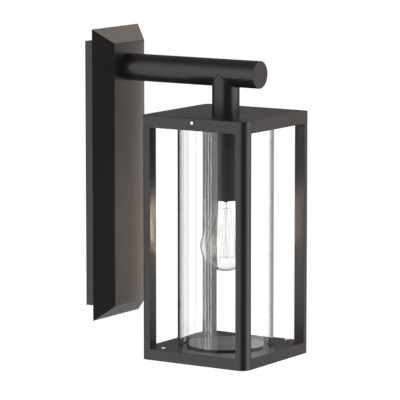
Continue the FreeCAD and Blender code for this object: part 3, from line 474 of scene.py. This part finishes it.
# The CAD nodes that take each finish.
FINISHES = {
    "coat": ("canopy", "roof_cap", "top_frame", *POSTS, "base_plate", "back_pan", "arm_tube", "arm_end_cap",
             "arm_plug", "stem_tube", "stem_plug", "socket_cover", "base_cover"),
    "zinc": ("mounting_strap", "arm_nipple", "arm_washer", "arm_locknut", "stem_nipple", "stem_washer",
             "stem_locknut", "socket_bracket", "socket_screws", "canopy_screws", "post_top_screws",
             "post_foot_screws", "bulb_contact"),
    "bright": ("clamp_screw_left", "clamp_screw_right", "base_screws", "pan_screws"),
    "brass": ("socket_shell", "socket_contact", "terminal_screws", "bulb_screw_cap"),
    "copper": ("ground_lead",),
    "green": ("ground_screw",),
    "rubber": ("wall_gasket", "glass_seat_gasket", "glass_top_gasket"),
    "porcelain": ("socket_body",),
    "vitrite": ("bulb_insulator",),
    "black": ("lead_black",),
    "white": ("lead_white",),
    "orange": ("wire_nuts",),
    "tube": ("glass_cylinder",),
    "lamp": ("bulb_glass",),
    "stem": ("bulb_stem",),
    "filament": ("bulb_filament",),
    "hook": ("bulb_supports",),
}


def paint_nodes():
    """Gives every CAD node its finish."""
    for finish, names in FINISHES.items():
        materials[finish].give(*(nodes[name] for name in names))


ROUNDED = ("arm_tube", "arm_end_cap", "stem_tube", "canopy", "back_pan", "socket_cover", *POSTS,
           "base_screws", "clamp_screw_left", "clamp_screw_right")
EDGE_ROUND = 0.25 * MM
HARD_EDGE = math.radians(40)


def round_cad_edges():
    """A hair of rounding on the hard edges of what is seen, so that they catch the light."""
    for name in ROUNDED:
        bevel = nodes[name].modifiers.new("edge_round", "BEVEL")
        bevel.width = EDGE_ROUND
        bevel.segments = 2
        bevel.limit_method = "ANGLE"
        bevel.angle_limit = HARD_EDGE
        bevel.harden_normals = True


# ---- mesh building ----------------------------------------------------------------------------------

SHARP_CORNER = math.radians(50)


def new_piece(name, mesh, body, finish, replaced=()):
    """Puts a mesh in the scene, shaded smooth between its corners, in place of the CAD nodes it replaces."""
    mesh.update()
    mesh.shade_smooth()
    mesh.set_sharp_from_angle(angle=SHARP_CORNER)
    piece = bpy.data.objects.new(name, mesh)
    scene.collection.objects.link(piece)
    materials[finish].give(piece)
    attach(piece, body)
    if replaced:
        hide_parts(*replaced)
    return piece


def mesh_from(name, build):
    """Ends a bmesh build and makes a mesh of it, with every face turned outwards."""
    bmesh.ops.recalc_face_normals(build, faces=build.faces)
    mesh = bpy.data.meshes.new(name)
    build.to_mesh(mesh)
    build.free()
    return mesh


ON_AXIS = 1e-7


def plain_radius(radius, angle, height):
    """For a lathe shape that is round all the way."""
    return radius


def add_lathe(build, profile, centre, steps, radius_at=plain_radius, closed=True):
    """Turns a profile of (radius, height) points about a vertical line through the centre."""
    rings = []
    for radius, height in profile:
        if radius <= ON_AXIS:
            rings.append([build.verts.new((centre.x, centre.y, height))])
            continue
        ring = []
        for step in range(steps):
            angle = FULL_TURN * step / steps
            reach = radius_at(radius, angle, height)
            ring.append(build.verts.new((centre.x + reach * math.cos(angle),
                                         centre.y + reach * math.sin(angle), height)))
        rings.append(ring)
    pairs = list(zip(rings, rings[1:]))
    if closed:
        pairs.append((rings[-1], rings[0]))
    for first, second in pairs:
        if len(first) == 1 and len(second) == 1:
            continue
        for step in range(steps):
            after = (step + 1) % steps
            corners = [first[step % len(first)], first[after % len(first)],
                       second[after % len(second)], second[step % len(second)]]
            build.faces.new(list(dict.fromkeys(corners)))


def lathe(name, profile, steps, **settings):
    """A mesh of one shape turned about the lantern's axis."""
    build = bmesh.new()
    add_lathe(build, profile, AXIS, steps, **settings)
    return mesh_from(name, build)


def add_wire(build, places, radius, sides=8):
    """Adds a round wire with closed ends through the given places."""
    rings = []
    across = None
    for index, place in enumerate(places):
        before, after = places[max(index - 1, 0)], places[min(index + 1, len(places) - 1)]
        along = (after - before).normalized()
        across = along.orthogonal() if across is None else across - along * across.dot(along)
        across.normalize()
        other = along.cross(across)
        ring = []
        for side in range(sides):
            angle = FULL_TURN * side / sides
            out = across * math.cos(angle) + other * math.sin(angle)
            ring.append(build.verts.new(place + out * radius))
        rings.append(ring)
    for first, second in zip(rings, rings[1:]):
        for side in range(sides):
            after = (side + 1) % sides
            build.faces.new((first[side], first[after], second[after], second[side]))
    build.faces.new(list(reversed(rings[0])))
    build.faces.new(rings[-1])


def add_ball(build, centre, radius):
    """Adds a small ball."""
    made = bmesh.ops.create_uvsphere(build, u_segments=12, v_segments=8, radius=radius)
    bmesh.ops.translate(build, verts=made["verts"], vec=centre)


# ---- glass tube and lamp ----------------------------------------------------------------------------

GLASS_WALL = 2.0 * MM
RIM_ROUND = 0.15 * MM
RIM_STEPS = 5
RIM_SUPPORT = 0.3 * MM
TUBE_FACETS = 256


def corner_arc(radius, height, start_degrees):
    """A quarter turn of close points about (radius, height), for an eased rim."""
    points = []
    for step in range(RIM_STEPS + 1):
        angle = math.radians(start_degrees + 90 * step / RIM_STEPS)
        points.append((radius + RIM_ROUND * math.cos(angle), height + RIM_ROUND * math.sin(angle)))
    return points


def make_glass_tube():
    """The clear tube, with eased rims. Rings close to the rims keep the long walls' shading true."""
    low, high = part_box("glass_cylinder")
    outer = (high.x - low.x) / 2
    inner = outer - GLASS_WALL
    bottom, top = low.z + RIM_ROUND, high.z - RIM_ROUND
    foot, head = bottom + RIM_SUPPORT, top - RIM_SUPPORT
    profile = (corner_arc(outer - RIM_ROUND, bottom, -90) + [(outer, foot), (outer, head)]
               + corner_arc(outer - RIM_ROUND, top, 0)
               + corner_arc(inner + RIM_ROUND, top, 90) + [(inner, head), (inner, foot)]
               + corner_arc(inner + RIM_ROUND, bottom, 180))
    mesh = lathe("glass_tube", profile, TUBE_FACETS)
    return new_piece("glass_tube", mesh, body="cage", finish="tube",
                     replaced=["glass_cylinder"])


LAMP_NECK_RADIUS = 13.6 * MM
LAMP_SHOULDER = math.radians(24)
LAMP_GLASS_WALL = 0.5 * MM
LAMP_FACETS = 160
CURVE_STEPS = 24


def lamp_outline(inset):
    """Half of the pear-shaped envelope: a neck that curves out to the shoulder, then a round end."""
    low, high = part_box("bulb_glass")
    radius = (high.x - low.x) / 2
    centre = low.z + radius
    radius -= inset
    start = Vector((LAMP_NECK_RADIUS - inset, high.z))
    end = Vector((radius * math.cos(LAMP_SHOULDER), centre + radius * math.sin(LAMP_SHOULDER)))
    pull = (start - end).length
    leave = Vector((0.0, -1.0)) * pull
    arrive = Vector((math.sin(LAMP_SHOULDER), -math.cos(LAMP_SHOULDER))) * pull
    points = []
    for step in range(CURVE_STEPS):
        share = step / CURVE_STEPS
        square, cube = share ** 2, share ** 3
        points.append(start * (2 * cube - 3 * square + 1) + leave * (cube - 2 * square + share)
                      + end * (3 * square - 2 * cube) + arrive * (cube - square))
    for step in range(CURVE_STEPS):
        angle = LAMP_SHOULDER - (LAMP_SHOULDER + math.pi / 2) * step / CURVE_STEPS
        points.append(Vector((radius * math.cos(angle), centre + radius * math.sin(angle))))
    points.append(Vector((0.0, centre - radius)))
    return [tuple(point) for point in points]


def make_lamp_glass():
    """The lamp's clear envelope, with its thin wall."""
    profile = lamp_outline(0.0) + list(reversed(lamp_outline(LAMP_GLASS_WALL)))
    mesh = lathe("lamp_envelope", profile, LAMP_FACETS)
    return new_piece("lamp_envelope", mesh, body="bulb", finish="lamp",
                     replaced=["bulb_glass"])


STEM_FACETS = 48


def make_lamp_stem():
    """The glass stem: a flare in the neck that narrows to a thin rod with a bead at its tip."""
    low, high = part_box("bulb_stem")
    flare = (high.x - low.x) / 2
    # Radii, each with its depth below the stem's top or its height above the stem's tip.
    from_top = ((0.0, 0.0), (flare, 0.0), (flare, 0.6 * MM), (flare * 0.55, 1.1 * MM),
                (flare * 0.28, 2.2 * MM), (1.9 * MM, 4.2 * MM), (1.1 * MM, 6.5 * MM), (0.7 * MM, 9.0 * MM))
    from_tip = ((0.6 * MM, 3.0 * MM), (1.2 * MM, 1.8 * MM), (1.2 * MM, 0.9 * MM), (0.6 * MM, 0.1 * MM),
                (0.0, 0.0))
    profile = [(radius, high.z - drop) for radius, drop in from_top]
    profile += [(radius, low.z + rise) for radius, rise in from_tip]
    mesh = lathe("lamp_stem", profile, STEM_FACETS, closed=False)
    new_piece("lamp_stem", mesh, body="bulb", finish="stem", replaced=["bulb_stem"])


FILAMENT_TURNS = 8
STRAND_RADIUS = 0.13 * MM
STRAND_BEND_RADIUS = STRAND_RADIUS * 1.2
SUPPORT_RADIUS = 0.09 * MM
HOOK_RADIUS = SUPPORT_RADIUS * 2
FILAMENT_TOP_SHARE = 0.83


def filament_rings():
    """The places of the upper and the lower hooks, the upper ones half a step round from the lower."""
    low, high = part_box("bulb_filament")
    wide = (high.x - low.x) / 2
    rings = []
    for height, radius, offset in ((high.z, wide * FILAMENT_TOP_SHARE, 0.5), (low.z, wide, 0.0)):
        ring = []
        for index in range(FILAMENT_TURNS):
            angle = FULL_TURN * (index + offset) / FILAMENT_TURNS
            ring.append(AXIS + Vector((radius * math.cos(angle), radius * math.sin(angle), height)))
        rings.append(ring)
    return rings


def make_filament():
    """One long carbon filament laced up and down between two rings of hooks."""
    tops, bottoms = filament_rings()
    build = bmesh.new()
    for index, bottom in enumerate(bottoms):
        add_wire(build, [bottom, tops[index]], STRAND_RADIUS)
        if index > 0:
            add_wire(build, [tops[index - 1], bottom], STRAND_RADIUS)
            add_ball(build, bottom, STRAND_BEND_RADIUS)
            add_ball(build, tops[index - 1], STRAND_BEND_RADIUS)
    new_piece("lamp_filament", mesh_from("lamp_filament", build), body="bulb", finish="filament",
              replaced=["bulb_filament"])
    hooks = bmesh.new()
    for hook in tops + bottoms:
        root = Vector((AXIS.x, AXIS.y, hook.z))
        tip = hook + (hook - root).normalized() * STRAND_RADIUS * 2
        add_wire(hooks, [root, tip], SUPPORT_RADIUS)
        add_ball(hooks, tip, HOOK_RADIUS)
    new_piece("filament_hooks", mesh_from("filament_hooks", hooks), body="bulb", finish="hook",
              replaced=["bulb_supports"])


THREAD_LEAD = 3.629 * MM
THREAD_DEPTH = 0.65 * MM
THREAD_FADE = 1.5 * MM
THREAD_STEP = 0.2 * MM
THREAD_SHEET = 0.3 * MM
THREAD_FACETS = 96


def threaded_sleeve(name, node, plain_low, plain_high):
    """A thin sleeve rolled into a rounded screw thread that fades out at its plain ends."""
    low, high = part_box(node)
    outer = (high.x - low.x) / 2

    def radius_at(radius, angle, height):
        inside = min(height - low.z - plain_low, high.z - plain_high - height) / THREAD_FADE
        depth = THREAD_DEPTH * max(0.0, min(1.0, inside))
        return radius - depth * (0.5 - 0.5 * math.cos(FULL_TURN * height / THREAD_LEAD - angle))

    steps = int((high.z - low.z) / THREAD_STEP)
    heights = [low.z + (high.z - low.z) * step / steps for step in range(steps + 1)]
    profile = [(outer, height) for height in heights]
    profile += [(outer - THREAD_SHEET, height) for height in reversed(heights)]
    return lathe(name, profile, THREAD_FACETS, radius_at=radius_at)


def make_threads():
    """The lamp's screw cap and the socket's threaded shell."""
    cap = threaded_sleeve("lamp_screw_cap", "bulb_screw_cap", plain_low=2.0 * MM, plain_high=2.5 * MM)
    new_piece("lamp_screw_cap", cap, body="bulb", finish="brass", replaced=["bulb_screw_cap"])
    shell = threaded_sleeve("socket_thread", "socket_shell", plain_low=0.8 * MM, plain_high=0.8 * MM)
    new_piece("socket_thread", shell, body="fixture", finish="brass",
              replaced=["socket_shell"])


# ---- wiring and joints ------------------------------------------------------------------------------

SAME_PLACE = 0.001 * MM


def islands(node):
    """The boxes of a node's separate solids, as their low and high corners."""
    build = bmesh.new()
    build.from_mesh(nodes[node].data)
    bmesh.ops.remove_doubles(build, verts=build.verts, dist=SAME_PLACE)
    left = set(build.verts)
    boxes = []
    while left:
        stack, found = [left.pop()], []
        while stack:
            vert = stack.pop()
            found.append(vert.co.copy())
            for edge in vert.link_edges:
                other = edge.other_vert(vert)
                if other in left:
                    left.remove(other)
                    stack.append(other)
        low = Vector([min(place[axis] for place in found) for axis in range(3)])
        high = Vector([max(place[axis] for place in found) for axis in range(3)])
        boxes.append((low, high))
    build.free()
    return sorted(boxes, key=lambda box: tuple(box[0]))


NUT_RIBS = 12
NUT_FACETS = 72
RIB_DEPTH = 0.45 * MM
RIBS_START = 0.18
RIBS_END = 0.92
RIB_STEEPNESS = 12
NUT_TIP_RADIUS = 3.6 * MM
RIBLESS_RADIUS = NUT_TIP_RADIUS * 0.95
NUT_BORE_RADIUS = 3.0 * MM
NUT_BORE_SHARE = 0.4


def ribbed_radius(start, tall):
    """Narrows a nut between its ribs, from just past the mouth's collar to just before the tip."""
    def radius_at(radius, angle, height):
        if radius < RIBLESS_RADIUS:
            return radius
        along = abs(height - start) / tall
        inside = min(along - RIBS_START, RIBS_END - along)
        ribbed = max(0.0, min(1.0, inside * RIB_STEEPNESS))
        return radius - RIB_DEPTH * ribbed * (0.5 + 0.5 * math.cos(NUT_RIBS * angle))
    return radius_at


def make_wire_nuts():
    """Three ribbed twist-on nuts. The middle one, on the ground lead, has its mouth below."""
    build = bmesh.new()
    for low, high in islands("wire_nuts"):
        centre = (low + high) / 2
        mouth = (high.x - low.x) / 2
        on_ground_lead = abs(centre.x) < mouth
        start, run = (low.z, high.z - low.z) if on_ground_lead else (high.z, low.z - high.z)
        # Radii, each with its share of the way from the mouth to the tip.
        shape = ((0.0, NUT_BORE_SHARE), (NUT_BORE_RADIUS, NUT_BORE_SHARE), (NUT_BORE_RADIUS, 0.0),
                 (mouth - 0.3 * MM, 0.0), (mouth, 0.03), (mouth, 0.14), (mouth * 0.95, 0.18),
                 (mouth * 0.90, 0.30), (mouth * 0.84, 0.50), (mouth * 0.76, 0.72), (NUT_TIP_RADIUS, 0.90),
                 (NUT_TIP_RADIUS * 0.8, 0.97), (NUT_TIP_RADIUS * 0.4, 1.0), (0.0, 1.0))
        profile = [(radius, start + run * along) for radius, along in shape]
        add_lathe(build, profile, centre, NUT_FACETS, radius_at=ribbed_radius(start, abs(run)), closed=False)
    new_piece("twist_nuts", mesh_from("twist_nuts", build), body="fixture", finish="orange",
              replaced=["wire_nuts"])


BEAD_RADIUS = 0.55 * MM
BEAD_STEPS = 96


def make_joint_bead():
    """The fine welded seam where the coped stem meets the arm."""
    low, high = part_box("stem_tube")
    radius = (high.x - low.x) / 2
    middle = centre_of("arm_end_cap").z
    places = []
    for step in range(BEAD_STEPS + 1):
        angle = FULL_TURN * step / BEAD_STEPS
        across, out = radius * math.cos(angle), radius * math.sin(angle)
        places.append(Vector((AXIS.x + across, AXIS.y + out, middle - abs(out))))
    build = bmesh.new()
    add_wire(build, places, BEAD_RADIUS, sides=10)
    new_piece("stem_weld_bead", mesh_from("stem_weld_bead", build), body="fixture", finish="coat")


# ---- lamp light -------------------------------------------------------------------------------------

LAMP_WATTS = 0.22
GLOW_SPOTS = 3
GLOW_TONE = (1.0, 0.80, 0.58)
GLOW_RADIUS = 0.016


def make_lamp_glow():
    """The lit filament's warm light, which falls on the posts, base and canopy."""
    low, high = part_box("bulb_filament")
    for spot in range(GLOW_SPOTS):
        data = bpy.data.lights.new("lamp_glow", "POINT")
        data.energy = LAMP_WATTS / GLOW_SPOTS
        data.color = GLOW_TONE
        data.shadow_soft_size = GLOW_RADIUS
        # Otherwise its highlights on the posts are lost wherever they are seen through the glass.
        data.cycles.use_multiple_importance_sampling = False
        glow = bpy.data.objects.new("lamp_glow", data)
        scene.collection.objects.link(glow)
        glow.location = low.lerp(high, (spot + 0.5) / GLOW_SPOTS)
        glow.location.x, glow.location.y = AXIS.x, AXIS.y
        glow.visible_camera = False
        glow.visible_transmission = False
        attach(glow, "bulb")


scene.view_settings.view_transform = "Standard"
materials = make_materials()
make_camera()
make_world()
make_floor()
make_lights()
light_canopy()
light_base_screws()
paint_nodes()
round_cad_edges()
glass_tube = make_glass_tube()
lamp_envelope = make_lamp_glass()
light_glass(glass_tube, lamp_envelope)
make_lamp_stem()
make_filament()
make_threads()
make_wire_nuts()
make_joint_bead()
make_lamp_glow()
